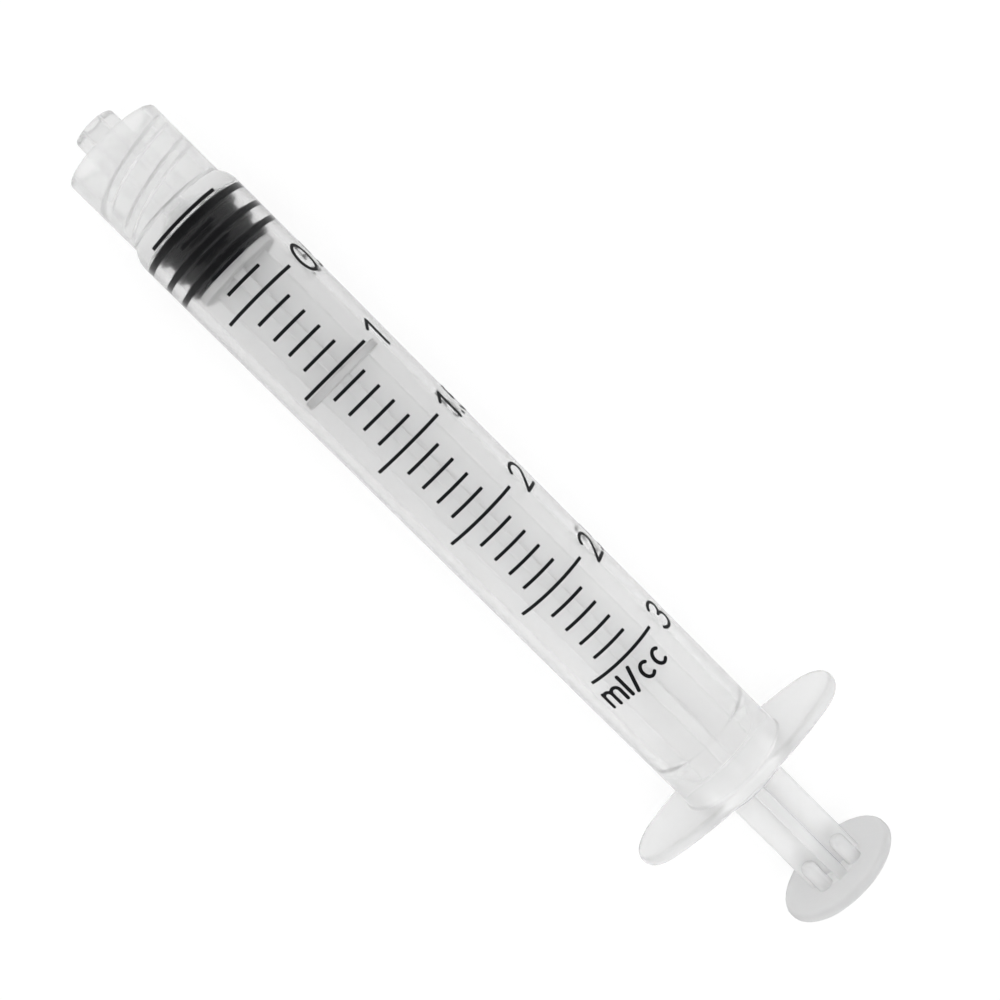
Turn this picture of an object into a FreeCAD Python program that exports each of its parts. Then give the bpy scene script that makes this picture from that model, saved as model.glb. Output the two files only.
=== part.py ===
import FreeCAD, Part
import Sketcher

import math
import os

# Luer lock syringe, 3 ml, lying on its side. Millimetres.
# While a piece is drawn, X runs along the barrel from the zero line towards the thumb rest, and
# every piece shares that axis. All pieces are then placed with the same shift, which puts the
# origin at the middle of the underside. The scale faces up, +Z, and the nozzle points to -X.

doc = FreeCAD.newDocument("luer_lock_syringe")
sheet = doc.addObject("Spreadsheet::Sheet", "sizes")

SIZES = {
    # Barrel tube. The bore and the volume between marks set how far apart the marks stand.
    "bore_diameter": 8.66,
    "barrel_wall": 1.0,
    "mark_volume": 100.0,
    "mark_count": 31,
    "tail_length": 15.4,
    "shoulder_length": 1.6,
    # Retaining bead inside the open end, and the flared mouth.
    "bead_setback": 4.0,
    "bead_height": 0.16,
    "bead_width": 1.1,
    "bead_crest": 0.4,
    "mouth_flare": 0.3,
    # Finger flange, an oval plate, and the low boss behind it.
    "flange_span": 23.6,
    "flange_width": 11.8,
    "flange_thickness": 1.05,
    "flange_end_radius": 4.4,
    "flange_edge": 0.35,
    "flange_root": 0.15,
    "boss_diameter": 10.0,
    "boss_height": 0.55,
    # Luer lock collar with its double-start thread.
    "collar_diameter": 9.5,
    "collar_wall": 0.7,
    "collar_depth": 7.0,
    "collar_edge": 0.25,
    "end_wall": 1.8,
    "thread_lead": 5.0,
    "thread_starts": 2,
    "thread_depth": 0.55,
    "thread_foot": 1.15,
    "thread_crest": 0.45,
    "thread_length": 4.8,
    "thread_setback": 0.9,
    # Nozzle: a 6 percent taper on the diameter.
    "nozzle_overhang": 2.1,
    "nozzle_tip_diameter": 3.96,
    "nozzle_taper": 0.06,
    "nozzle_bore": 1.6,
    "nozzle_edge": 0.25,
    # Cone that closes the bore. The gasket's nose follows it.
    "cone_depth": 1.1,
    # Gasket: three rings on a waist, and a cavity for the head of the rod.
    "seat_clearance": 0.05,
    "zero_line_lead": 0.25,
    "ring_clearance": 0.02,
    "ring_width": 0.85,
    "middle_ring_place": 2.0,
    "rear_ring_place": 3.7,
    "ring_round": 0.2,
    "waist_diameter": 7.5,
    "gasket_length": 4.75,
    "cavity_diameter": 4.8,
    "cavity_depth": 3.7,
    "lip_length": 1.1,
    # Plunger rod: barbed head, two discs, cross ribs, thumb rest with ejector studs.
    "head_clearance": 0.06,
    "neck_diameter": 3.4,
    "head_nose_diameter": 2.6,
    "head_nose_length": 0.9,
    "disc_diameter": 8.0,
    "disc_thickness": 0.75,
    "disc_edge": 0.15,
    "second_disc_place": 17.2,
    "rib_thickness": 1.05,
    "rib_span": 5.7,
    "rib_edge": 0.12,
    "rod_reach": 13.6,
    "thumb_diameter": 11.9,
    "thumb_thickness": 0.95,
    "thumb_edge": 0.4,
    "stud_diameter": 1.5,
    "stud_length": 2.8,
    "stud_offset": 1.75,
    "stud_nose": 0.6,
    # Printed marks.
    "ink_thickness": 0.03,
    "ink_width": 0.3,
    "long_mark_angle": 80.0,
    "short_mark_angle": 38.5,
    "long_mark_every": 5,
}

for row, (alias, value) in enumerate(SIZES.items(), start=1):
    sheet.set(f"A{row}", alias)
    sheet.set(f"B{row}", str(value))
    sheet.setAlias(f"B{row}", alias)
doc.recompute()

# Places and radii that follow from the sizes, written as expressions.
BORE = "sizes.bore_diameter / 2"
TUBE = f"({BORE} + sizes.barrel_wall)"
MARK_SPACING = f"(sizes.mark_volume / (pi * ({BORE})^2))"
SCALE_LENGTH = f"({MARK_SPACING} * (sizes.mark_count - 1))"

SEAT = "(sizes.zero_line_lead - sizes.seat_clearance)"
CONE_TIP = f"({SEAT} - sizes.cone_depth)"
COLLAR_FLOOR = "(-sizes.end_wall)"
SHOULDER_FOOT = f"({SEAT} - sizes.shoulder_length)"
COLLAR_FRONT = f"({COLLAR_FLOOR} - sizes.collar_depth)"
NOZZLE_TIP = f"({COLLAR_FRONT} - sizes.nozzle_overhang)"
COLLAR = "sizes.collar_diameter / 2"
COLLAR_BORE = f"({COLLAR} - sizes.collar_wall)"
NOZZLE_TIP_RADIUS = "sizes.nozzle_tip_diameter / 2"
NOZZLE_FOOT_RADIUS = f"({NOZZLE_TIP_RADIUS} + sizes.nozzle_taper * ({COLLAR_FLOOR} - {NOZZLE_TIP}) / 2)"
NOZZLE_BORE = "sizes.nozzle_bore / 2"

FLANGE_FRONT = f"({SCALE_LENGTH} + sizes.tail_length)"
FLANGE_REAR = f"({FLANGE_FRONT} + sizes.flange_thickness)"
BARREL_REAR = f"({FLANGE_REAR} + sizes.boss_height)"
BOSS = "sizes.boss_diameter / 2"
FLANGE_END = "(sizes.flange_span / 2 - sizes.flange_end_radius)"
FLANGE_SIDE = (f"({FLANGE_END}^2 + (sizes.flange_width / 2)^2 - sizes.flange_end_radius^2)"
               " / (sizes.flange_width - 2 * sizes.flange_end_radius)")
BEAD = f"({FLANGE_FRONT} - sizes.bead_setback)"
BEAD_TOP = f"({BORE} - sizes.bead_height)"

GASKET_FRONT = "sizes.zero_line_lead"
GASKET_REAR = f"({GASKET_FRONT} + sizes.gasket_length)"
RING = f"({BORE} - sizes.ring_clearance)"
WAIST = "sizes.waist_diameter / 2"
CAVITY = "sizes.cavity_diameter / 2"
CAVITY_FRONT = f"({GASKET_REAR} - sizes.cavity_depth)"
LIP = "(sizes.neck_diameter / 2 + sizes.head_clearance)"
LIP_FRONT = f"({GASKET_REAR} - sizes.lip_length)"

HEAD = f"({CAVITY} - sizes.head_clearance)"
HEAD_FRONT = f"({CAVITY_FRONT} + sizes.head_clearance)"
HEAD_SHOULDER = f"({HEAD_FRONT} + sizes.head_nose_length)"
HEAD_REAR = f"({LIP_FRONT} - sizes.head_clearance)"
NECK = "sizes.neck_diameter / 2"
DISC = "sizes.disc_diameter / 2"
DISC_FRONT = f"({GASKET_REAR} + sizes.head_clearance)"
DISC_REAR = f"({DISC_FRONT} + sizes.disc_thickness)"
THUMB = "sizes.thumb_diameter / 2"
THUMB_FRONT = f"({FLANGE_FRONT} + sizes.rod_reach)"
THUMB_REAR = f"({THUMB_FRONT} + sizes.thumb_thickness)"
STUD_FRONT = f"({THUMB_FRONT} - sizes.stud_length)"

# The shared shift: the middle of the length at the origin, and the underside at zero height.
SHIFT_ALONG = f"-({NOZZLE_TIP} + {THUMB_REAR}) / 2"
SHIFT_UP = "max(sizes.thumb_diameter; sizes.flange_width) / 2"

# Two places that lie nearer to each other than this are the same place.
SAME_PLACE = 1e-4


def number(expression):
    """The value of an expression as a plain number."""
    value = sheet.evalExpression(expression)
    return float(getattr(value, "Value", value))


def new_body(label):
    body = doc.addObject("PartDesign::Body", label)
    body.Label = label
    body.setExpression("Placement.Base.x", SHIFT_ALONG)
    body.setExpression("Placement.Base.z", SHIFT_UP)
    return body


def origin_feature(body, role):
    for feature in body.Origin.OriginFeatures:
        if feature.Role == role:
            return feature
    raise RuntimeError(f"no origin feature {role}")


def new_sketch(body, name, plane, offset=None):
    sketch = body.newObject("Sketcher::SketchObject", name)
    sketch.AttachmentSupport = (origin_feature(body, plane), [""])
    sketch.MapMode = "FlatFace"
    if offset:
        sketch.setExpression("AttachmentOffset.Base.z", offset)
    return sketch


def pin_point(sketch, geometry, end, across, upward):
    """Hold one point of the sketch at two expressions."""
    for kind, axis, expression in (("DistanceX", -2, across), ("DistanceY", -1, upward)):
        if expression == "0":
            sketch.addConstraint(Sketcher.Constraint("PointOnObject", geometry, end, axis))
            continue
        held = Sketcher.Constraint(kind, -1, 1, geometry, end, number(expression))
        index = sketch.addConstraint(held)
        sketch.setExpression(f"Constraints[{index}]", expression)


def outline(body, name, corners, plane="XY_Plane", offset=None, arcs=None):
    """A closed outline with each corner bound to the sizes.

    Straight from corner to corner, but for arcs: they map the corner that an arc leaves to the
    place of its centre along the axis. Such an arc turns clockwise.
    """
    arcs = arcs or {}
    sketch = new_sketch(body, name, plane, offset)
    spots = [FreeCAD.Vector(number(across), number(upward), 0) for across, upward in corners]
    count = len(spots)
    for index in range(count):
        first, last = spots[index], spots[(index + 1) % count]
        if index in arcs:
            sketch.addGeometry(arc_between(first, last, number(arcs[index])), False)
        else:
            sketch.addGeometry(Part.LineSegment(first, last), False)
    for index in range(count):
        after = (index + 1) % count
        leaving = 1 if index in arcs else 2
        arriving = 2 if after in arcs else 1
        sketch.addConstraint(Sketcher.Constraint("Coincident", index, leaving, after, arriving))
    for index, (across, upward) in enumerate(corners):
        pin_point(sketch, index, 2 if index in arcs else 1, across, upward)
    for index, along in arcs.items():
        held = sketch.addConstraint(Sketcher.Constraint("DistanceX", -1, 1, index, 3, number(along)))
        sketch.setExpression(f"Constraints[{held}]", along)
    return sketch


def arc_between(first, last, along):
    """The clockwise arc from first to last whose centre lies at a place along the axis."""
    spare = (first.x - along) ** 2 - (last.x - along) ** 2 + first.y ** 2 - last.y ** 2
    centre = FreeCAD.Vector(along, spare / (2 * (first.y - last.y)), 0)
    whole = Part.Circle(centre, FreeCAD.Vector(0, 0, 1), (first - centre).Length)
    angles = [math.atan2(spot.y - centre.y, spot.x - centre.x) for spot in (last, first)]
    return Part.ArcOfCircle(whole, *angles)


def circle(body, name, radius, offset, across="0", upward="0"):
    """A circle across the axis, with its centre bound to the sizes."""
    sketch = new_sketch(body, name, "YZ_Plane", offset)
    centre = FreeCAD.Vector(number(across), number(upward), 0)
    sketch.addGeometry(Part.Circle(centre, FreeCAD.Vector(0, 0, 1), number(radius)), False)
    pin_point(sketch, 0, 3, across, upward)
    index = sketch.addConstraint(Sketcher.Constraint("Radius", 0, number(radius)))
    sketch.setExpression(f"Constraints[{index}]", radius)
    return sketch


def turn(body, kind, name, sketch):
    """A full turn of a half section about the barrel's axis."""
    feature = body.newObject(kind, name)
    feature.Profile = sketch
    feature.ReferenceAxis = (sketch, ["H_Axis"])
    feature.Angle = 360.0
    return feature


def pad(body, name, sketch, length):
    feature = body.newObject("PartDesign::Pad", name)
    feature.Profile = sketch
    feature.setExpression("Length", length)
    return feature


def round_edges(body, name, radius, wanted):
    """Round the edges of the tip feature for which wanted(edge) is true."""
    doc.recompute()
    base = body.Tip
    picked = []
    for index, edge in enumerate(base.Shape.Edges, start=1):
        if wanted(edge):
            picked.append(f"Edge{index}")
    if not picked:
        raise RuntimeError(f"{name}: no edge found")
    fillet = body.newObject("PartDesign::Fillet", name)
    fillet.Base = (base, picked)
    fillet.setExpression("Radius", radius)
    return fillet


def is_ring(edge, along, radius):
    """True for a circle about the barrel's axis at a place and with a radius."""
    curve = edge.Curve
    if not isinstance(curve, Part.Circle):
        return False
    centre = curve.Center
    misses = (math.hypot(centre.y, centre.z), centre.x - along, curve.Radius - radius)
    return max(abs(miss) for miss in misses) < SAME_PLACE


def ring_test(*rings):
    """A test for any of several circles, each given as a place and a radius."""
    places = [(number(along), number(radius)) for along, radius in rings]

    def wanted(edge):
        return any(is_ring(edge, along, radius) for along, radius in places)
    return wanted


def is_along_axis(edge):
    """True for a straight edge that runs parallel to the barrel."""
    if not isinstance(edge.Curve, (Part.Line, Part.LineSegment)):
        return False
    return abs(abs(edge.Curve.Direction.x) - 1) < SAME_PLACE


# Barrel: tube, shoulder, collar, nozzle, flange and boss, moulded as one.

def build_barrel():
    body = new_body("barrel")
    build_flange(body)
    outside = outline(body, "outside", [
        (NOZZLE_TIP, "0"),
        (NOZZLE_TIP, NOZZLE_TIP_RADIUS),
        (COLLAR_FLOOR, NOZZLE_FOOT_RADIUS),
        (COLLAR_FLOOR, COLLAR_BORE),
        (COLLAR_FRONT, COLLAR_BORE),
        (COLLAR_FRONT, COLLAR),
        (SHOULDER_FOOT, COLLAR),
        (SEAT, TUBE),
        (f"{FLANGE_FRONT} - sizes.flange_root", TUBE),
        (FLANGE_FRONT, f"{TUBE} + sizes.flange_root"),
        (FLANGE_REAR, f"{TUBE} + sizes.flange_root"),
        (FLANGE_REAR, BOSS),
        (BARREL_REAR, BOSS),
        (BARREL_REAR, "0"),
    ], arcs={6: SEAT})
    turn(body, "PartDesign::Revolution", "moulded_outside", outside)
    core = outline(body, "core_pin", [
        (NOZZLE_TIP, "0"),
        (NOZZLE_TIP, NOZZLE_BORE),
        (CONE_TIP, NOZZLE_BORE),
        (SEAT, BORE),
        (f"{BEAD} - sizes.bead_width / 2", BORE),
        (f"{BEAD} - sizes.bead_crest / 2", BEAD_TOP),
        (f"{BEAD} + sizes.bead_crest / 2", BEAD_TOP),
        (f"{BEAD} + sizes.bead_width / 2", BORE),
        (f"{BARREL_REAR} - sizes.mouth_flare", BORE),
        (BARREL_REAR, f"{BORE} + sizes.mouth_flare"),
        (BARREL_REAR, "0"),
    ])
    turn(body, "PartDesign::Groove", "hollow", core)
    round_edges(body, "collar_fillet", "sizes.collar_edge", ring_test((COLLAR_FRONT, COLLAR)))
    round_edges(body, "nozzle_fillet", "sizes.nozzle_edge", ring_test((NOZZLE_TIP, NOZZLE_TIP_RADIUS)))
    build_thread(body)
    return body


def build_flange(body):
    """An oval plate, outlined by four arcs that meet smoothly."""
    sketch = new_sketch(body, "flange_outline", "YZ_Plane", FLANGE_FRONT)
    end_place = number(FLANGE_END)
    end_radius = number("sizes.flange_end_radius")
    side_radius = number(FLANGE_SIDE)
    side_place = side_radius - number("sizes.flange_width / 2")
    lean = math.atan2(side_place, end_place)
    arcs = (
        (end_place, 0, end_radius, -lean, lean),
        (0, -side_place, side_radius, lean, math.pi - lean),
        (-end_place, 0, end_radius, math.pi - lean, math.pi + lean),
        (0, side_place, side_radius, math.pi + lean, 2 * math.pi - lean),
    )
    for across, upward, radius, first, last in arcs:
        centre = FreeCAD.Vector(across, upward, 0)
        round_edge = Part.Circle(centre, FreeCAD.Vector(0, 0, 1), radius)
        sketch.addGeometry(Part.ArcOfCircle(round_edge, first, last), False)
    for arc in range(4):
        sketch.addConstraint(Sketcher.Constraint("Tangent", arc, 2, (arc + 1) % 4, 1))
    for arc, expression in ((0, "sizes.flange_end_radius"), (1, FLANGE_SIDE)):
        held = sketch.addConstraint(Sketcher.Constraint("Radius", arc, number(expression)))
        sketch.setExpression(f"Constraints[{held}]", expression)
        sketch.addConstraint(Sketcher.Constraint("Equal", arc, arc + 2))
    for held in (Sketcher.Constraint("DistanceX", -1, 1, 0, 3, end_place),
                 Sketcher.Constraint("DistanceX", 2, 3, -1, 1, end_place)):
        index = sketch.addConstraint(held)
        sketch.setExpression(f"Constraints[{index}]", FLANGE_END)
    for arc in (0, 2):
        sketch.addConstraint(Sketcher.Constraint("PointOnObject", arc, 3, -1))
    pad(body, "flange", sketch, "sizes.flange_thickness")

    def is_rim(edge):
        return edge.BoundBox.XLength < SAME_PLACE
    round_edges(body, "flange_rim", "sizes.flange_edge", is_rim)


def build_thread(body):
    """Two helical ridges inside the collar, half a turn apart."""
    front = f"({COLLAR_FRONT} + sizes.thread_setback)"
    middle = f"({front} + sizes.thread_foot / 2)"
    crest = f"({COLLAR_BORE} - sizes.thread_depth)"
    foot = f"({COLLAR_BORE} + sizes.collar_wall / 4)"
    ridge = outline(body, "ridge_section", [
        (front, foot),
        (f"{middle} - sizes.thread_crest / 2", crest),
        (f"{middle} + sizes.thread_crest / 2", crest),
        (f"{front} + sizes.thread_foot", foot),
    ])
    helix = body.newObject("PartDesign::AdditiveHelix", "thread_ridge")
    helix.Profile = ridge
    helix.ReferenceAxis = (ridge, ["H_Axis"])
    helix.Mode = "pitch-height-angle"
    helix.setExpression("Pitch", "sizes.thread_lead")
    helix.setExpression("Height", "sizes.thread_length")
    helix.LeftHanded = False
    doc.recompute()
    starts = body.newObject("PartDesign::PolarPattern", "thread_starts")
    starts.Originals = [helix]
    starts.Axis = (ridge, ["H_Axis"])
    starts.Angle = 360.0
    starts.setExpression("Occurrences", "sizes.thread_starts")
    body.Tip = starts


# Gasket: black rubber, one piece.

def build_gasket():
    body = new_body("gasket")
    nose = f"({CONE_TIP} + sizes.seat_clearance)"
    rings = (GASKET_FRONT, f"({GASKET_FRONT} + sizes.middle_ring_place)",
             f"({GASKET_FRONT} + sizes.rear_ring_place)")
    corners = [(nose, "0"), (nose, NOZZLE_BORE)]
    edges = []
    for place in rings:
        rear = f"({place} + sizes.ring_width)"
        if place != GASKET_FRONT:
            corners.append((place, WAIST))
        corners.append((place, RING))
        corners.append((rear, RING))
        corners.append((rear, WAIST))
        edges.append((place, RING))
        edges.append((rear, RING))
    corners += [
        (GASKET_REAR, WAIST),
        (GASKET_REAR, LIP),
        (LIP_FRONT, LIP),
        (LIP_FRONT, CAVITY),
        (HEAD_SHOULDER, CAVITY),
        (CAVITY_FRONT, "sizes.head_nose_diameter / 2"),
        (CAVITY_FRONT, "0"),
    ]
    turn(body, "PartDesign::Revolution", "moulded_rubber", outline(body, "half_section", corners))
    round_edges(body, "ring_fillets", "sizes.ring_round", ring_test(*edges))
    return body


# Plunger rod: one clear moulding.

def build_plunger_rod():
    body = new_body("plunger_rod")
    head = outline(body, "head_section", [
        (HEAD_FRONT, "0"),
        (HEAD_FRONT, "sizes.head_nose_diameter / 2 - sizes.head_clearance"),
        (HEAD_SHOULDER, HEAD),
        (HEAD_REAR, HEAD),
        (HEAD_REAR, NECK),
        (DISC_FRONT, NECK),
        (DISC_FRONT, DISC),
        (DISC_REAR, DISC),
        (DISC_REAR, "0"),
    ])
    turn(body, "PartDesign::Revolution", "head_and_disc", head)
    build_ribs(body)
    second = circle(body, "second_disc_outline", DISC, "sizes.second_disc_place")
    pad(body, "second_disc", second, "sizes.disc_thickness")
    thumb = circle(body, "thumb_outline", THUMB, THUMB_FRONT)
    pad(body, "thumb_rest", thumb, "sizes.thumb_thickness")
    build_studs(body)
    round_edges(body, "thumb_fillet", "sizes.thumb_edge",
                ring_test((THUMB_FRONT, THUMB), (THUMB_REAR, THUMB)))
    second_rear = "sizes.second_disc_place + sizes.disc_thickness"
    round_edges(body, "disc_fillet", "sizes.disc_edge", ring_test(
        (DISC_FRONT, DISC), (DISC_REAR, DISC), ("sizes.second_disc_place", DISC), (second_rear, DISC)))
    return body


def build_ribs(body):
    """Four ribs in a cross, from the first disc to the thumb rest."""
    wide = "sizes.rib_span / 2"
    thin = "sizes.rib_thickness / 2"
    cross = [(thin, thin), (thin, wide), (f"-{thin}", wide), (f"-{thin}", thin),
             (f"-{wide}", thin), (f"-{wide}", f"-{thin}"), (f"-{thin}", f"-{thin}"),
             (f"-{thin}", f"-{wide}"), (thin, f"-{wide}"), (thin, f"-{thin}"),
             (wide, f"-{thin}"), (wide, thin)]
    sketch = outline(body, "cross_section", cross, "YZ_Plane", DISC_REAR)
    pad(body, "ribs", sketch, f"{THUMB_FRONT} - {DISC_REAR}")
    reach = number(wide)

    def is_rib_edge(edge):
        middle = edge.CenterOfMass
        return is_along_axis(edge) and abs(max(abs(middle.y), abs(middle.z)) - reach) < SAME_PLACE
    round_edges(body, "rib_fillets", "sizes.rib_edge", is_rib_edge)


def build_studs(body):
    """Four round-nosed ejector studs in front of the thumb rest, one between each two ribs."""
    side = "sizes.stud_offset"
    sketch = circle(body, "stud_outline", "sizes.stud_diameter / 2", STUD_FRONT, side, side)
    stud = pad(body, "stud", sketch, "sizes.stud_length")
    doc.recompute()
    studs = body.newObject("PartDesign::PolarPattern", "studs")
    studs.Originals = [stud]
    studs.Axis = (origin_feature(body, "X_Axis"), [""])
    studs.Angle = 360.0
    studs.Occurrences = 4
    body.Tip = studs
    front = number(STUD_FRONT)

    def is_stud_nose(edge):
        curve = edge.Curve
        return isinstance(curve, Part.Circle) and abs(curve.Center.x - front) < SAME_PLACE
    round_edges(body, "stud_noses", "sizes.stud_nose", is_stud_nose)


# Printed marks: one thin curved strip of ink for each tenth of a millilitre.

def build_marks():
    marks = doc.addObject("Part::Feature", "graduation_marks")
    marks.Label = "graduation_marks"
    upright = 90.0
    inner = number(TUBE)
    outer = inner + sheet.ink_thickness
    spacing = number(MARK_SPACING)
    along = FreeCAD.Vector(1, 0, 0)
    strips = []
    for index in range(int(sheet.mark_count)):
        is_long = index % int(sheet.long_mark_every) == 0
        angle = sheet.long_mark_angle if is_long else sheet.short_mark_angle
        start = FreeCAD.Vector(index * spacing - sheet.ink_width / 2, 0, 0)
        strip = Part.makeCylinder(outer, sheet.ink_width, start, along, angle)
        strip = strip.cut(Part.makeCylinder(inner, sheet.ink_width, start, along, 360)).Solids[0]
        strip.rotate(start, along, upright - middle_angle(strip))
        strips.append(strip)
    marks.Shape = Part.Compound(strips)
    marks.setExpression("Placement.Base.x", SHIFT_ALONG)
    marks.setExpression("Placement.Base.z", SHIFT_UP)
    return marks


def middle_angle(strip):
    """The direction of a strip's middle, in degrees from +Y towards +Z."""
    centre = strip.CenterOfMass
    return math.degrees(math.atan2(centre.z, centre.y))


pieces = [build_barrel(), build_gasket(), build_plunger_rod(), build_marks()]
doc.recompute()

for thing in doc.Objects:
    if "Invalid" in thing.State or "Error" in thing.State:
        raise RuntimeError(f"{thing.Name}: {thing.State}")

os.makedirs("parts", exist_ok=True)
for piece in pieces:
    shape = piece.Shape
    if shape.isNull() or not shape.isValid():
        raise RuntimeError(f"{piece.Label}: bad shape")
    box = shape.BoundBox
    print(piece.Label, "solids", len(shape.Solids), "volume", round(shape.Volume, 2),
          [round(v, 2) for v in (box.XMin, box.YMin, box.ZMin, box.XMax, box.YMax, box.ZMax)])
    shape.exportStep(f"parts/{piece.Label}.step")
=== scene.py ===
import math

import bmesh
import bpy
from mathutils import Matrix, Vector
from mathutils.geometry import delaunay_2d_cdt


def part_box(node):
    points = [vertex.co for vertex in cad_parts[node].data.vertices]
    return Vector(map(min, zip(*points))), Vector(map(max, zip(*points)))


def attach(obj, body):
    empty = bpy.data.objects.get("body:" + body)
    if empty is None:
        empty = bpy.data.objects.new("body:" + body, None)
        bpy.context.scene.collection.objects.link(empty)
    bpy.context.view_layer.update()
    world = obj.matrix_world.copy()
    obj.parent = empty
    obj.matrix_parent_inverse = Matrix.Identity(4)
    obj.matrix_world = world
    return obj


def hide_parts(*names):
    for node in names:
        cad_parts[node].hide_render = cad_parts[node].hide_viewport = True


# Luer lock syringe on a white floor, scale upwards. Metres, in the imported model's frame.
# X runs from the nozzle to the thumb rest. Sections are drawn as (place along X from the zero
# line, radius), and angles round the barrel count from the top towards +Y.

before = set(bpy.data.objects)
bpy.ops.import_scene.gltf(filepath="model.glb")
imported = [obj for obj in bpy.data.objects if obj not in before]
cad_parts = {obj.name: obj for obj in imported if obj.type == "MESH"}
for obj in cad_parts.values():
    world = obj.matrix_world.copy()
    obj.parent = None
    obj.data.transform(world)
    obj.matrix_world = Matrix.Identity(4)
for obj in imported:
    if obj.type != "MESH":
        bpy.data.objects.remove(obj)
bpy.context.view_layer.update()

# Places read from the frame.

barrel_low, barrel_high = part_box("barrel")
marks_low, marks_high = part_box("graduation_marks")
gasket_low, gasket_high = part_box("gasket")

INK_WIDTH = 0.0003
SPACE_COUNT = 30
ZERO_LINE = marks_low.x + INK_WIDTH / 2
MARK_SPACING = (marks_high.x - marks_low.x - INK_WIDTH) / SPACE_COUNT
AXIS_HEIGHT = (barrel_low.z + barrel_high.z) / 2
NOZZLE_TIP = barrel_low.x - ZERO_LINE
BARREL_REAR = barrel_high.x - ZERO_LINE
GASKET_NOSE = gasket_low.x - ZERO_LINE
GASKET_REAR = gasket_high.x - ZERO_LINE

# Barrel.

BORE = 0.00433
TUBE = 0.00533
SEAT = 0.0002
SHOULDER_LENGTH = 0.0016
END_WALL = 0.0018
CONE_DEPTH = 0.0011
COLLAR = 0.00475
COLLAR_BORE = 0.00405
COLLAR_DEPTH = 0.007
COLLAR_EDGE = 0.00025
NOZZLE_TIP_RADIUS = 0.00198
NOZZLE_TAPER = 0.06
NOZZLE_BORE = 0.0008
NOZZLE_EDGE = 0.00025
SMALL_ROUND = 0.0001
BOSS = 0.005
BOSS_HEIGHT = 0.00055
FLANGE_THICKNESS = 0.00105
FLANGE_ROOT = 0.00015
FLANGE_HALF_SPAN = 0.0118
FLANGE_HALF_WIDTH = 0.0059
FLANGE_END_RADIUS = 0.0044
FLANGE_EDGE = 0.00035
BEAD_SETBACK = 0.004
BEAD_HEIGHT = 0.00016
BEAD_WIDTH = 0.0011
BEAD_CREST = 0.0004
BEAD_ROUND = 0.0007
MOUTH_FLARE = 0.0003

# Thread inside the collar.

THREAD_LEAD = 0.005
THREAD_STARTS = 2
THREAD_DEPTH = 0.00055
THREAD_FOOT = 0.00115
THREAD_CREST = 0.00045
THREAD_LENGTH = 0.0048
THREAD_SETBACK = 0.0009
THREAD_FADE = 0.07
THREAD_ROW = 0.00007

# Gasket. Its rings are pressed on the bore, so they reach a hair past it.

RING_CONTACT = BORE + 0.00001
RING_WIDTH = 0.00085
RING_PLACES = (0.0, 0.002, 0.0037)
RING_ROUND = 0.0002
GASKET_LENGTH = 0.00475
WAIST = 0.00375
CAVITY = 0.0024
CAVITY_DEPTH = 0.0037
LIP = 0.00176
LIP_LENGTH = 0.0011

# Printed figures beside the marks, and the unit sign behind the last mark. A letter's size is
# the height of its pen line; FIGURE_ANGLE and UNIT_ANGLE are where the first strokes begin.

INK_THICKNESS = 0.00003
INK_SLICE = 0.0003
PEN = 0.00033
LETTER_GAP = 0.28
FIGURE_SIZE = 0.00267
FIGURE_ANGLE = math.radians(53)
FIGURE_SHIFT = 0.0002
FIGURES = {5: "0.5", 10: "1", 15: "1.5", 20: "2", 25: "2.5", 30: "3"}
UNIT_SIZE = 0.00205
UNIT_ANGLE = math.radians(-41.5)
UNIT_PLACE = 0.0029
UNIT_SIGN = "ml/cc"

# Rod.

# Painted shade on the rod: its ribs turn greyer over a thin band just inside their tips.
RIB_TIP = 0.00285
RIB_SHADE_BAND = 0.0002

# Fineness of the meshes, and lengths too short to see.

BARREL_SIDES = 256
GASKET_SIDES = 192
SHARP_ANGLE = math.radians(35)
SAME_PLACE = 1e-7
HAIR = 1e-6

# Tones along the syringe, as (place from the zero line, grey), set by the photograph.

# Barrel grey: the plastic's own light tint, with painted shade along it: darker at the collar's front,
# darkest where the gasket sits, lighter towards the flange.
BARREL_TINT_AND_PAINTED_SHADE = (
    (-0.009, 0.94), (-0.005, 0.98), (-0.001, 0.98), (0.001, 0.89), (0.02, 0.91), (0.05, 0.99), (0.066, 0.99))
BARREL_CLARITY = (
    (-0.009, 0.78), (-0.001, 0.78), (0.0002, 1.0), (0.006, 1.0), (0.02, 0.93), (0.05, 0.88), (0.06, 0.84),
    (0.066, 0.7))
BARREL_ROUGHNESS = ((-0.001, 0.24), (0.001, 0.18), (0.061, 0.18), (0.066, 0.24))
# Rod grey: near white, with painted shade: the front disc just behind the gasket is darker.
ROD_TINT_AND_PAINTED_SHADE = ((0.005, 0.78), (0.0062, 0.97), (0.02, 0.97), (0.05, 0.99), (0.0795, 1.0))
ROD_CLARITY = (
    (0.0166, 0.35), (0.0171, 0.97), (0.018, 0.97), (0.0185, 0.35), (0.075, 0.35), (0.077, 0.6))


# Meshes.

def rounded(corners, steps=6):
    """A polyline in which each corner (along, radius, rounding) becomes an arc."""
    path = []
    count = len(corners)
    for index, (along, radius, rounding) in enumerate(corners):
        here = Vector((along, radius))
        if not rounding or index in (0, count - 1):
            path.append(here)
            continue
        before = (Vector(corners[index - 1][:2]) - here).normalized()
        after = (Vector(corners[index + 1][:2]) - here).normalized()
        half = before.angle(after) / 2
        reach = rounding / math.tan(half)
        centre = here + (before + after).normalized() * rounding / math.sin(half)
        start = here + before * reach - centre
        turn = start.angle_signed(here + after * reach - centre)
        for step in range(steps + 1):
            path.append(centre + Matrix.Rotation(-turn * step / steps, 2) @ start)
    return path


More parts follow.
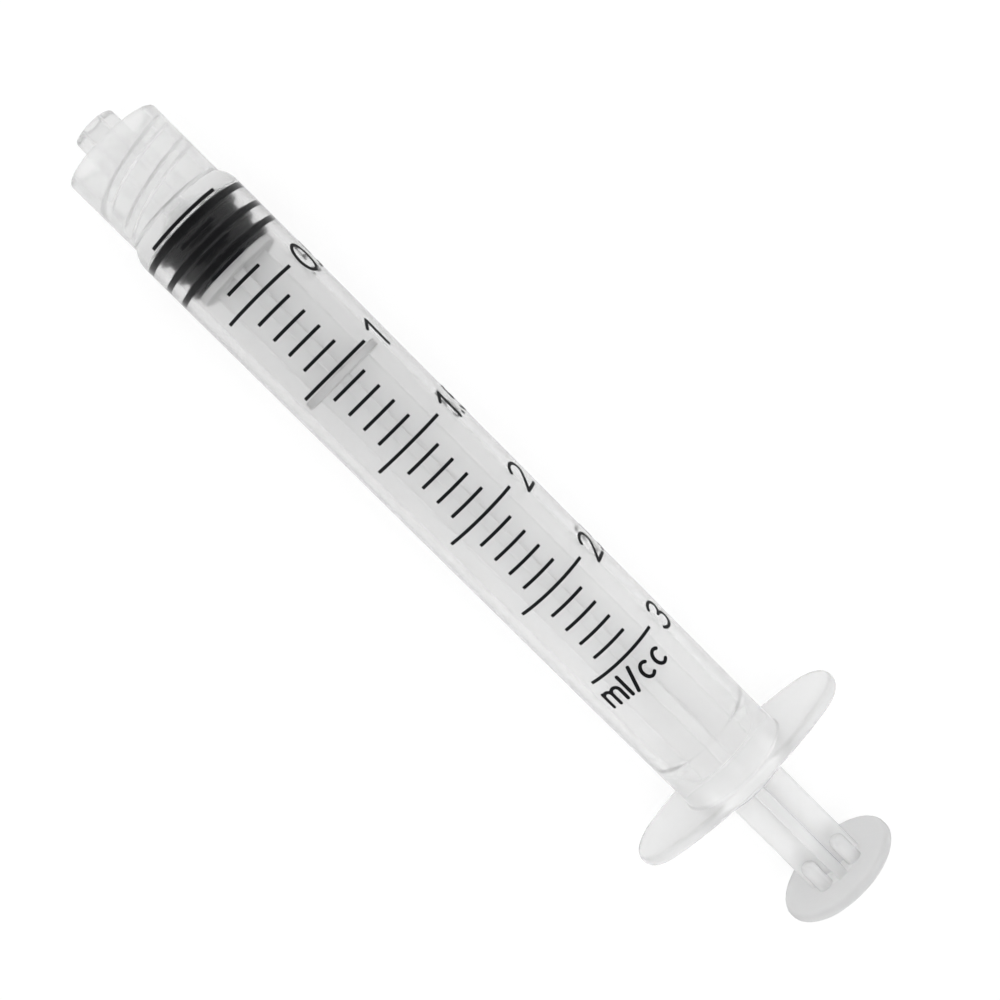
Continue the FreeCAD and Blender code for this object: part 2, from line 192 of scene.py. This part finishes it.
def section_point(along, radius, angle):
    """A point of the part's frame for a place, a radius and an angle from the top."""
    across = radius * math.sin(angle)
    upward = radius * math.cos(angle)
    return Vector((ZERO_LINE + along, across, AXIS_HEIGHT + upward))


def mark_sharp(mesh):
    for edge in mesh.edges:
        edge.smooth = len(edge.link_faces) == 2 and edge.calc_face_angle() < SHARP_ANGLE
    for face in mesh.faces:
        face.smooth = True


def finished_piece(name, mesh):
    """The object made of a finished mesh, linked to the scene."""
    data = bpy.data.meshes.new(name)
    mesh.to_mesh(data)
    mesh.free()
    piece = bpy.data.objects.new(name, data)
    bpy.context.scene.collection.objects.link(piece)
    return piece


def lathe(name, rows, sides, closed):
    """A turned mesh. A row is (along, radius), and its radius may be a function of the angle."""
    mesh = bmesh.new()
    rings = []
    for along, radius in rows:
        if not callable(radius) and radius < SAME_PLACE:
            rings.append([mesh.verts.new(section_point(along, 0, 0))])
            continue
        ring = []
        for side in range(sides):
            angle = 2 * math.pi * side / sides
            reach = radius(angle) if callable(radius) else radius
            ring.append(mesh.verts.new(section_point(along, reach, angle)))
        rings.append(ring)
    pairs = list(zip(rings, rings[1:]))
    if closed:
        pairs.append((rings[-1], rings[0]))
    for first, second in pairs:
        for side in range(sides):
            after = (side + 1) % sides
            if len(first) == 1:
                mesh.faces.new((first[0], second[side], second[after]))
            elif len(second) == 1:
                mesh.faces.new((first[side], second[0], first[after]))
            else:
                mesh.faces.new((first[side], second[side], second[after], first[after]))
    bmesh.ops.recalc_face_normals(mesh, faces=mesh.faces)
    mark_sharp(mesh)
    return finished_piece(name, mesh)


def flange_radius(angle, inset):
    """How far the flange's outline, an oval of four arcs drawn in by inset, lies from the axis."""
    end_place = FLANGE_HALF_SPAN - FLANGE_END_RADIUS
    spare = end_place ** 2 + FLANGE_HALF_WIDTH ** 2 - FLANGE_END_RADIUS ** 2
    side_radius = spare / (2 * (FLANGE_HALF_WIDTH - FLANGE_END_RADIUS))
    side_place = side_radius - FLANGE_HALF_WIDTH
    across = abs(math.sin(angle))
    upward = abs(math.cos(angle))
    lean = math.atan2(side_place, end_place)
    junction_across = end_place + FLANGE_END_RADIUS * math.cos(lean)
    junction_upward = FLANGE_END_RADIUS * math.sin(lean)
    if upward * junction_across < across * junction_upward:
        reach = FLANGE_END_RADIUS - inset
        return end_place * across + math.sqrt(reach ** 2 - (end_place * upward) ** 2)
    reach = side_radius - inset
    return math.sqrt(reach ** 2 - (side_place * across) ** 2) - side_place * upward


def thread_height(along, angle, first_centre):
    """Height of the two helical ridges above the collar's bore."""
    turned = (math.pi / 2 - angle) / (2 * math.pi)
    turns = THREAD_LENGTH / THREAD_LEAD
    height = 0.0
    for start in range(THREAD_STARTS):
        for lap in range(-2, 3):
            travel = turned + lap + start / THREAD_STARTS
            away = abs(along - first_centre - THREAD_LEAD * travel)
            if away > THREAD_FOOT / 2 or not 0 < travel < turns:
                continue
            flank = (THREAD_FOOT / 2 - away) / ((THREAD_FOOT - THREAD_CREST) / 2)
            fade = min(1.0, travel / THREAD_FADE, (turns - travel) / THREAD_FADE)
            rise = min(1.0, flank)
            height = max(height, THREAD_DEPTH * rise * rise * (3 - 2 * rise) * fade)
    return height


def flange_rows(front, rear):
    """Rows over the flange from its front root to its rear root."""
    root = TUBE + FLANGE_ROOT
    steps = 5

    def outline(inset):
        return lambda angle: max(root + HAIR, flange_radius(angle, inset))
    rows = [(front, root)]
    for step in range(steps + 1):
        turn = math.pi / 2 * step / steps
        rows.append((front + FLANGE_EDGE * (1 - math.cos(turn)), outline(FLANGE_EDGE * (1 - math.sin(turn)))))
    for step in range(steps + 1):
        turn = math.pi / 2 * step / steps
        rows.append((rear - FLANGE_EDGE * (1 - math.sin(turn)), outline(FLANGE_EDGE * (1 - math.cos(turn)))))
    rows.append((rear, root))
    return rows


def shoulder():
    """The arc from the collar's outside to the tube's, level where it meets the tube."""
    rise = TUBE - COLLAR
    radius = (SHOULDER_LENGTH ** 2 + rise ** 2) / (2 * rise)
    steps = 10
    points = []
    for step in range(1, steps + 1):
        back = SHOULDER_LENGTH * (1 - step / steps)
        points.append(Vector((SEAT - back, TUBE - radius + math.sqrt(radius ** 2 - back ** 2))))
    return points


def barrel_rows():
    """The barrel's closed section: outside from the tip to the mouth, then the bore back again."""
    floor = -END_WALL
    front = floor - COLLAR_DEPTH
    foot = NOZZLE_TIP_RADIUS + NOZZLE_TAPER * (floor - NOZZLE_TIP) / 2
    flange_rear = BARREL_REAR - BOSS_HEIGHT
    flange_front = flange_rear - FLANGE_THICKNESS
    nozzle = rounded([
        (NOZZLE_TIP, NOZZLE_BORE, 0),
        (NOZZLE_TIP, NOZZLE_TIP_RADIUS, NOZZLE_EDGE),
        (floor, foot, SMALL_ROUND),
        (floor, COLLAR_BORE - SMALL_ROUND, 0),
    ])
    collar = rounded([
        (front, COLLAR_BORE, 0),
        (front, COLLAR, COLLAR_EDGE),
        (SEAT - SHOULDER_LENGTH, COLLAR, 0),
    ], steps=8) + shoulder() + [Vector((flange_front - FLANGE_ROOT, TUBE))]
    bead = flange_front - BEAD_SETBACK
    bore = rounded([
        (BARREL_REAR, BOSS - 2 * SMALL_ROUND, 0),
        (BARREL_REAR, BORE + MOUTH_FLARE, SMALL_ROUND),
        (BARREL_REAR - MOUTH_FLARE, BORE, SMALL_ROUND),
        (bead + BEAD_WIDTH / 2, BORE, BEAD_ROUND),
        (bead + BEAD_CREST / 2, BORE - BEAD_HEIGHT, BEAD_ROUND),
        (bead - BEAD_CREST / 2, BORE - BEAD_HEIGHT, BEAD_ROUND),
        (bead - BEAD_WIDTH / 2, BORE, BEAD_ROUND),
        (SEAT, BORE, SMALL_ROUND),
        (SEAT - CONE_DEPTH, NOZZLE_BORE, SMALL_ROUND),
        (NOZZLE_TIP + SMALL_ROUND, NOZZLE_BORE, 0),
    ], steps=4)
    rows = [tuple(point) for point in nozzle]
    first_centre = front + THREAD_SETBACK + THREAD_FOOT / 2
    count = round(COLLAR_DEPTH / THREAD_ROW)
    for index in range(count):
        along = floor - COLLAR_DEPTH * (index + 0.5) / count

        def wall(angle, along=along):
            return COLLAR_BORE - thread_height(along, angle, first_centre)
        rows.append((along, wall))
    rows += [tuple(point) for point in collar]
    rows += flange_rows(flange_front, flange_rear)
    rows += [(flange_rear, BOSS)]
    rows += [tuple(point) for point in rounded([
        (flange_rear, BOSS, 0),
        (BARREL_REAR, BOSS, SMALL_ROUND),
        (BARREL_REAR, BORE + MOUTH_FLARE, 0),
    ])[1:-1]]
    rows += [tuple(point) for point in bore[1:]]
    return rows


def gasket_rows():
    """Nose, three rings on a waist, rear face and the cavity for the rod's head."""
    corners = [(GASKET_NOSE, 0, 0), (GASKET_NOSE, NOZZLE_BORE, SMALL_ROUND)]
    for place in RING_PLACES:
        start = GASKET_REAR - GASKET_LENGTH + place
        if place:
            corners.append((start, WAIST, SMALL_ROUND))
        corners.append((start, RING_CONTACT, RING_ROUND))
        corners.append((start + RING_WIDTH, RING_CONTACT, RING_ROUND))
        corners.append((start + RING_WIDTH, WAIST, SMALL_ROUND / 2))
    corners += [
        (GASKET_REAR, WAIST, SMALL_ROUND / 2),
        (GASKET_REAR, LIP, SMALL_ROUND),
        (GASKET_REAR - LIP_LENGTH, LIP, SMALL_ROUND),
        (GASKET_REAR - LIP_LENGTH, CAVITY, SMALL_ROUND),
        (GASKET_REAR - CAVITY_DEPTH, CAVITY, SMALL_ROUND),
        (GASKET_REAR - CAVITY_DEPTH, 0, 0),
    ]
    return [tuple(point) for point in rounded(corners, steps=4)]


# Printed letters, drawn with a round pen. Strokes are lines of (across, up) in letter heights.

def arc(across, up, reach, rise, first, last, steps=14):
    """Points of an oval arc from one angle to another, in degrees from the right."""
    points = []
    for step in range(steps + 1):
        angle = math.radians(first + (last - first) * step / steps)
        points.append((across + reach * math.cos(angle), up + rise * math.sin(angle)))
    return points


def letter_strokes(letter):
    """The strokes and the width of a letter."""
    letters = {
        "0": ([arc(0.33, 0.5, 0.33, 0.5, 85, 275), arc(0.33, 0.5, 0.33, 0.5, -95, 95)], 0.66),
        "1": ([[(0, 0.77), (0.3, 1)], [(0.3, 1), (0.3, 0)]], 0.34),
        "2": ([arc(0.32, 0.71, 0.3, 0.29, 165, -28), [(0.585, 0.575), (0.02, 0)],
               [(0.02, 0), (0.64, 0)]], 0.66),
        "3": ([arc(0.3, 0.76, 0.28, 0.24, 150, -90), arc(0.3, 0.26, 0.33, 0.26, 90, -150)], 0.64),
        "5": ([[(0.56, 1), (0.14, 1)], [(0.14, 1), (0.07, 0.54)],
               arc(0.3, 0.32, 0.33, 0.32, 136, -150)], 0.64),
        ".": ([[(0, 0.02), (0, 0)]], 0),
        "m": ([[(0, 0), (0, 0.72)], arc(0.21, 0.5, 0.21, 0.22, 180, 0) + [(0.42, 0)],
               arc(0.63, 0.5, 0.21, 0.22, 180, 0) + [(0.84, 0)]], 0.84),
        "l": ([[(0, 0), (0, 1)]], 0),
        "/": ([[(0, -0.05), (0.34, 1)]], 0.34),
        "c": ([arc(0.25, 0.36, 0.25, 0.36, 52, 308)], 0.47),
    }
    return letters[letter]


def pen_outline(stroke, half, steps=6):
    """The outline of a stroke drawn with a round pen."""
    points = [Vector(point) for point in stroke]
    headings = [(after - before).normalized() for before, after in zip(points, points[1:])]
    sides = [[], []]
    for index, point in enumerate(points):
        heading = headings[max(0, index - 1)] + headings[min(index, len(headings) - 1)]
        normal = heading.normalized().orthogonal() * half
        sides[0].append(point + normal)
        sides[1].append(point - normal)
    caps = []
    for point, heading, turn in ((points[-1], headings[-1], 1), (points[0], headings[0], -1)):
        edge = heading.orthogonal() * half * turn
        caps.append([point + Matrix.Rotation(-math.pi * step / steps, 2) @ edge for step in range(1, steps)])
    return sides[0] + caps[0] + sides[1][::-1] + caps[1]


def is_anticlockwise(outline):
    pairs = zip(outline, outline[1:] + outline[:1])
    return sum(first.cross(second) for first, second in pairs) > 0


def ink_layout(text, size, place, first_angle):
    """Pen outlines of a text on the unrolled barrel: (distance round it, place along it)."""
    outlines = []
    reach = TUBE * first_angle
    for letter in text:
        strokes, width = letter_strokes(letter)
        for stroke in strokes:
            spots = [(reach + size * across, place - size * up) for across, up in stroke]
            outlines.append(pen_outline(spots, PEN / 2))
        reach += size * (width + LETTER_GAP)
    return outlines


def ink_piece(name, outlines):
    """One thin curved solid of ink for all outlines, with overlapping strokes made one."""
    points = []
    faces = []
    for outline in outlines:
        faces.append(list(range(len(points), len(points) + len(outline))))
        points += outline if is_anticlockwise(outline) else outline[::-1]
    spots, _, triangles, _, _, sources = delaunay_2d_cdt(points, [], faces, 1, SAME_PLACE)
    flat = bmesh.new()
    corners = [flat.verts.new((spot.x, spot.y, 0)) for spot in spots]
    for triangle, source in zip(triangles, sources):
        if source:
            flat.faces.new([corners[index] for index in triangle])
    low = min(spot.x for spot in spots)
    high = max(spot.x for spot in spots)
    for index in range(1, math.ceil((high - low) / INK_SLICE)):
        everything = flat.verts[:] + flat.edges[:] + flat.faces[:]
        bmesh.ops.bisect_plane(
            flat, geom=everything, plane_co=(low + index * INK_SLICE, 0, 0), plane_no=(1, 0, 0))
    mesh = bmesh.new()
    layers = []
    for radius in (TUBE, TUBE + INK_THICKNESS):
        layers.append([mesh.verts.new(section_point(corner.co.y, radius, corner.co.x / TUBE))
                       for corner in flat.verts])
    flat.verts.index_update()
    for face in flat.faces:
        loop = [corner.index for corner in face.verts]
        mesh.faces.new([layers[1][index] for index in loop])
        mesh.faces.new([layers[0][index] for index in reversed(loop)])
    for edge in flat.edges:
        if len(edge.link_faces) == 1:
            first, last = (corner.index for corner in edge.verts)
            mesh.faces.new((layers[0][first], layers[0][last], layers[1][last], layers[1][first]))
    flat.free()
    bmesh.ops.recalc_face_normals(mesh, faces=mesh.faces)
    return finished_piece(name, mesh)


# Materials.

def new_material(name, colour, roughness, **sockets):
    material = bpy.data.materials.new(name)
    material.use_nodes = True
    shader = material.node_tree.nodes["Principled BSDF"]
    shader.inputs["Base Color"].default_value = (*colour, 1)
    shader.inputs["Roughness"].default_value = roughness
    for socket, value in sockets.items():
        shader.inputs[socket.replace("_", " ")].default_value = value
    return material


def add_node(material, kind, **settings):
    node = material.node_tree.nodes.new(kind)
    for name, value in settings.items():
        setattr(node, name, value)
    return node


def noise(material, scale, detail=2.0, stretch=(1, 1, 1)):
    """Noise in the part's own space. Its scale counts waves per metre."""
    links = material.node_tree.links
    place = add_node(material, "ShaderNodeTexCoord")
    mapping = add_node(material, "ShaderNodeMapping")
    mapping.inputs["Scale"].default_value = stretch
    waves = add_node(material, "ShaderNodeTexNoise")
    waves.inputs["Scale"].default_value = scale
    waves.inputs["Detail"].default_value = detail
    links.new(place.outputs["Object"], mapping.inputs["Vector"])
    links.new(mapping.outputs["Vector"], waves.inputs["Vector"])
    return waves.outputs["Fac"]


def map_range(material, value, low, high, new_low, new_high):
    node = add_node(material, "ShaderNodeMapRange")
    for socket, number in (("From Min", low), ("From Max", high), ("To Min", new_low), ("To Max", new_high)):
        node.inputs[socket].default_value = number
    material.node_tree.links.new(value, node.inputs["Value"])
    return node.outputs["Result"]


def combine(material, operation, first, second):
    node = add_node(material, "ShaderNodeMath", operation=operation)
    material.node_tree.links.new(first, node.inputs[0])
    material.node_tree.links.new(second, node.inputs[1])
    return node.outputs["Value"]


def drive(material, socket, value):
    shader = material.node_tree.nodes["Principled BSDF"]
    material.node_tree.links.new(value, shader.inputs[socket])


def vary_roughness(material, value, low, high):
    drive(material, "Roughness", map_range(material, value, 0.3, 0.7, low, high))


def add_bump(material, value, distance):
    bump = add_node(material, "ShaderNodeBump")
    bump.inputs["Distance"].default_value = distance
    material.node_tree.links.new(value, bump.inputs["Height"])
    shader = material.node_tree.nodes["Principled BSDF"]
    material.node_tree.links.new(bump.outputs["Normal"], shader.inputs["Normal"])


def along_axis(material, *stops):
    """A grey that changes along the syringe. Stops are (place from the zero line, grey)."""
    place = add_node(material, "ShaderNodeTexCoord")
    split = add_node(material, "ShaderNodeSeparateXYZ")
    material.node_tree.links.new(place.outputs["Object"], split.inputs["Vector"])
    start, end = stops[0][0], stops[-1][0]
    share = map_range(material, split.outputs["X"], ZERO_LINE + start, ZERO_LINE + end, 0, 1)
    ramp = add_node(material, "ShaderNodeValToRGB")
    marks = ramp.color_ramp.elements
    while len(marks) < len(stops):
        marks.new(0.5)
    for mark, (along, grey) in zip(marks, stops):
        mark.position = (along - start) / (end - start)
        mark.color = (grey, grey, grey, 1)
    material.node_tree.links.new(share, ramp.inputs["Fac"])
    return ramp.outputs["Color"]


def make_clear_plastic():
    """Polypropylene of the barrel: clear along the scale, milky where the collar and flange are thick."""
    material = new_material(
        "clear_plastic", (0.9, 0.9, 0.9), 0.18, IOR=1.3, Sheen_Weight=0.4, Sheen_Roughness=0.25)
    flow = noise(material, 700, 2.0, (0.3, 1, 1))
    add_bump(material, flow, 0.0000005)
    # Base colour: the plastic's grey plus painted shade along the barrel.
    drive(material, "Base Color", along_axis(material, *BARREL_TINT_AND_PAINTED_SHADE))
    drive(material, "Transmission Weight", along_axis(material, *BARREL_CLARITY))
    drive(material, "Roughness", combine(
        material, "ADD", map_range(material, flow, 0.3, 0.7, -0.02, 0.02),
        along_axis(material, *BARREL_ROUGHNESS)))
    return material


def distance_from_axis(material):
    place = add_node(material, "ShaderNodeTexCoord")
    flatten = add_node(material, "ShaderNodeMapping")
    flatten.inputs["Location"].default_value = (0, 0, -AXIS_HEIGHT)
    flatten.inputs["Scale"].default_value = (0, 1, 1)
    length = add_node(material, "ShaderNodeVectorMath", operation="LENGTH")
    material.node_tree.links.new(place.outputs["Object"], flatten.inputs["Vector"])
    material.node_tree.links.new(flatten.outputs["Vector"], length.inputs[0])
    return length.outputs["Value"]


def make_rod_plastic():
    """Polypropylene of the rod: the same resin, cloudier, with a satin mould finish, and painted shade:
    greyer rib tips and a darker front disc behind the gasket.
    """
    material = new_material(
        "rod_plastic", (0.9, 0.9, 0.9), 0.4, IOR=1.3, Subsurface_Weight=1.0,
        Subsurface_Scale=0.0006, Subsurface_Radius=(1, 1, 1))
    grain = noise(material, 2500, 3.0, (0.5, 1, 1))
    vary_roughness(material, grain, 0.35, 0.45)
    add_bump(material, grain, 0.000003)
    drive(material, "Transmission Weight", along_axis(material, *ROD_CLARITY))
    # Painted shade: the rib tips greyer, times the painted shade along the rod.
    edge = map_range(material, distance_from_axis(material), RIB_TIP - RIB_SHADE_BAND, RIB_TIP, 1.0, 0.88)
    drive(material, "Base Color", combine(material, "MULTIPLY", edge, along_axis(material, *ROD_TINT_AND_PAINTED_SHADE)))
    return material


def make_black_rubber():
    """Moulded rubber, faintly grained, wetted by its lubricant."""
    material = new_material("black_rubber", (0.004, 0.004, 0.005), 0.42, Specular_IOR_Level=0.06)
    grain = noise(material, 6000, 4.0)
    vary_roughness(material, grain, 0.36, 0.5)
    add_bump(material, grain, 0.000008)
    return material


def make_black_ink():
    """Printing ink, a little uneven where the screen laid it down."""
    material = new_material("black_ink", (0.006, 0.006, 0.007), 0.5, Specular_IOR_Level=0.15)
    grain = noise(material, 9000, 3.0)
    vary_roughness(material, grain, 0.4, 0.6)
    add_bump(material, grain, 0.000004)
    return material


clear_plastic = make_clear_plastic()
rod_plastic = make_rod_plastic()
black_rubber = make_black_rubber()
black_ink = make_black_ink()


def dress(piece, material):
    piece.data.materials.clear()
    piece.data.materials.append(material)


# Pieces.

barrel_shell = lathe("barrel_shell", barrel_rows(), BARREL_SIDES, closed=True)
dress(barrel_shell, clear_plastic)
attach(barrel_shell, "barrel")
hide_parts("barrel")

gasket_rubber = lathe("gasket_rubber", gasket_rows(), GASKET_SIDES, closed=False)
dress(gasket_rubber, black_rubber)
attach(gasket_rubber, "gasket")
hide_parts("gasket")

last_mark = SPACE_COUNT * MARK_SPACING
printed = {
    "scale_figures": [outline for mark, text in FIGURES.items() for outline in ink_layout(
        text, FIGURE_SIZE, mark * MARK_SPACING + FIGURE_SHIFT + FIGURE_SIZE / 2, FIGURE_ANGLE)],
    "unit_sign": ink_layout(UNIT_SIGN, UNIT_SIZE, last_mark + UNIT_PLACE, UNIT_ANGLE),
}
for name, outlines in printed.items():
    ink = ink_piece(name, outlines)
    dress(ink, black_ink)
    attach(ink, "barrel")

dress(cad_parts["plunger_rod"], rod_plastic)
dress(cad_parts["graduation_marks"], black_ink)


# Floor, light and camera.

FLOOR_SIZE = 3.0
FLOOR_GREY = 0.8
FLOOR_SHADE = 0.2
FLOOR_GLOW = 0.82
GLOW_THROUGH = 0.7
SIDE_STRENGTH = 0.85
SKY_THROUGH = 1.65
OVERHEAD_STRENGTH = 0.15
OVERHEAD_FROM = 0.3
OVERHEAD_TO = 0.8
DIFFUSE_STRENGTH = 0.7
LAMP_PLACE = (0, 0, 0.37)
LAMP_AIM = (0, 0, 0.005)
LAMP_SIZE = 0.5
LAMP_POWER = 0.7
BOUNCES = 32


def scene_node(tree, kind, **inputs):
    """A node whose named inputs are numbers, or outputs to link."""
    node = tree.nodes.new(kind)
    for name, value in inputs.items():
        socket = node.inputs[name.replace("_", " ")]
        if isinstance(value, bpy.types.NodeSocket):
            tree.links.new(value, socket)
        else:
            socket.default_value = value
    return node


def make_floor():
    """White paper for the camera, a light grey where the clear plastic shows what is under it."""
    half = FLOOR_SIZE / 2
    data = bpy.data.meshes.new("floor")
    corners = [(-half, -half, 0), (half, -half, 0), (half, half, 0), (-half, half, 0)]
    data.from_pydata(corners, [], [(0, 1, 2, 3)])
    floor = bpy.data.objects.new("floor", data)
    bpy.context.scene.collection.objects.link(floor)
    material = bpy.data.materials.new("floor_white")
    material.use_nodes = True
    tree = material.node_tree
    tree.nodes.clear()
    path = tree.nodes.new("ShaderNodeLightPath")
    diffuse_ray = scene_node(
        tree, "ShaderNodeMix", Factor=path.outputs["Is Diffuse Ray"], A=GLOW_THROUGH, B=0.0)
    strength = scene_node(
        tree, "ShaderNodeMix", Factor=path.outputs["Is Camera Ray"], A=diffuse_ray.outputs["Result"],
        B=FLOOR_GLOW)
    glow = scene_node(tree, "ShaderNodeEmission", Strength=strength.outputs["Result"])
    grey = scene_node(
        tree, "ShaderNodeMix", Factor=path.outputs["Is Diffuse Ray"], A=FLOOR_SHADE, B=FLOOR_GREY)
    paper = scene_node(tree, "ShaderNodeBsdfDiffuse", Color=grey.outputs["Result"])
    add = tree.nodes.new("ShaderNodeAddShader")
    output = tree.nodes.new("ShaderNodeOutputMaterial")
    tree.links.new(paper.outputs["BSDF"], add.inputs[0])
    tree.links.new(glow.outputs["Emission"], add.inputs[1])
    tree.links.new(add.outputs["Shader"], output.inputs["Surface"])
    data.materials.append(material)


def make_world():
    """White all round for the camera, grey through clear plastic, and dark overhead in reflections."""
    world = bpy.data.worlds.new("studio")
    bpy.context.scene.world = world
    world.use_nodes = True
    tree = world.node_tree
    direction = tree.nodes.new("ShaderNodeTexCoord")
    split = scene_node(tree, "ShaderNodeSeparateXYZ", Vector=direction.outputs["Generated"])
    mirrored = scene_node(
        tree, "ShaderNodeMapRange", Value=split.outputs["Z"], From_Min=OVERHEAD_FROM, From_Max=OVERHEAD_TO,
        To_Min=SIDE_STRENGTH, To_Max=OVERHEAD_STRENGTH)
    through = scene_node(
        tree, "ShaderNodeMapRange", Value=split.outputs["Z"], From_Min=0, From_Max=OVERHEAD_FROM,
        To_Min=SIDE_STRENGTH, To_Max=SKY_THROUGH)
    path = tree.nodes.new("ShaderNodeLightPath")
    strength = mirrored.outputs["Result"]
    choices = (
        ("Is Diffuse Ray", DIFFUSE_STRENGTH),
        ("Is Transmission Ray", through.outputs["Result"]),
        ("Is Camera Ray", 1.0),
    )
    for ray, value in choices:
        choice = scene_node(tree, "ShaderNodeMix", Factor=path.outputs[ray], A=strength, B=value)
        strength = choice.outputs["Result"]
    background = tree.nodes["Background"]
    background.inputs["Color"].default_value = (1, 1, 1, 1)
    tree.links.new(strength, background.inputs["Strength"])


def area_lamp(name, place, aim, size, power):
    data = bpy.data.lights.new(name, "AREA")
    data.shape = "DISK"
    data.size = size
    data.energy = power
    lamp = bpy.data.objects.new(name, data)
    lamp.location = place
    lamp.rotation_mode = "QUATERNION"
    lamp.rotation_quaternion = (Vector(aim) - Vector(place)).to_track_quat("-Z", "Y")
    lamp.visible_glossy = False
    lamp.visible_transmission = False
    bpy.context.scene.collection.objects.link(lamp)


CAMERA_OFFSET = Vector((0.0178706, 0.0054146, 0.1229605))
CAMERA_YAW = 0.1365
CAMERA_PITCH = 0.028
CAMERA_ROLL = -0.004
FOCAL_SHARE = 1.43855
SENSOR = 36
NEAR_LIMIT = 0.005
DIAGONAL = math.radians(45)


def turned_pair(first, second, angle):
    """Two square axes turned in their own plane."""
    return (first * math.cos(angle) + second * math.sin(angle),
            second * math.cos(angle) - first * math.sin(angle))


def make_camera():
    """The photograph looks down on the scale, with the barrel along the picture's diagonal."""
    forward, right = turned_pair(Vector((0, 0, -1)), Vector((1, 0, 0)), CAMERA_YAW)
    forward, down = turned_pair(forward, Vector((0, -1, 0)), CAMERA_PITCH)
    right, down = turned_pair(right, down, CAMERA_ROLL)
    down, right = turned_pair(down, right, DIAGONAL)
    camera_data = bpy.data.cameras.new("photo_camera")
    camera_data.sensor_width = SENSOR
    camera_data.lens = SENSOR * FOCAL_SHARE
    camera_data.clip_start = NEAR_LIMIT
    camera = bpy.data.objects.new("photo_camera", camera_data)
    axes = Matrix((right, -down, -forward)).transposed().to_4x4()
    place = Vector((ZERO_LINE, 0, AXIS_HEIGHT)) + CAMERA_OFFSET
    camera.matrix_world = Matrix.Translation(place) @ axes
    bpy.context.scene.collection.objects.link(camera)
    bpy.context.scene.camera = camera


make_floor()
make_world()
area_lamp("overhead", LAMP_PLACE, LAMP_AIM, LAMP_SIZE, LAMP_POWER)
make_camera()

bpy.context.scene.view_settings.view_transform = "Standard"
bpy.context.scene.cycles.max_bounces = BOUNCES
bpy.context.scene.cycles.transmission_bounces = BOUNCES
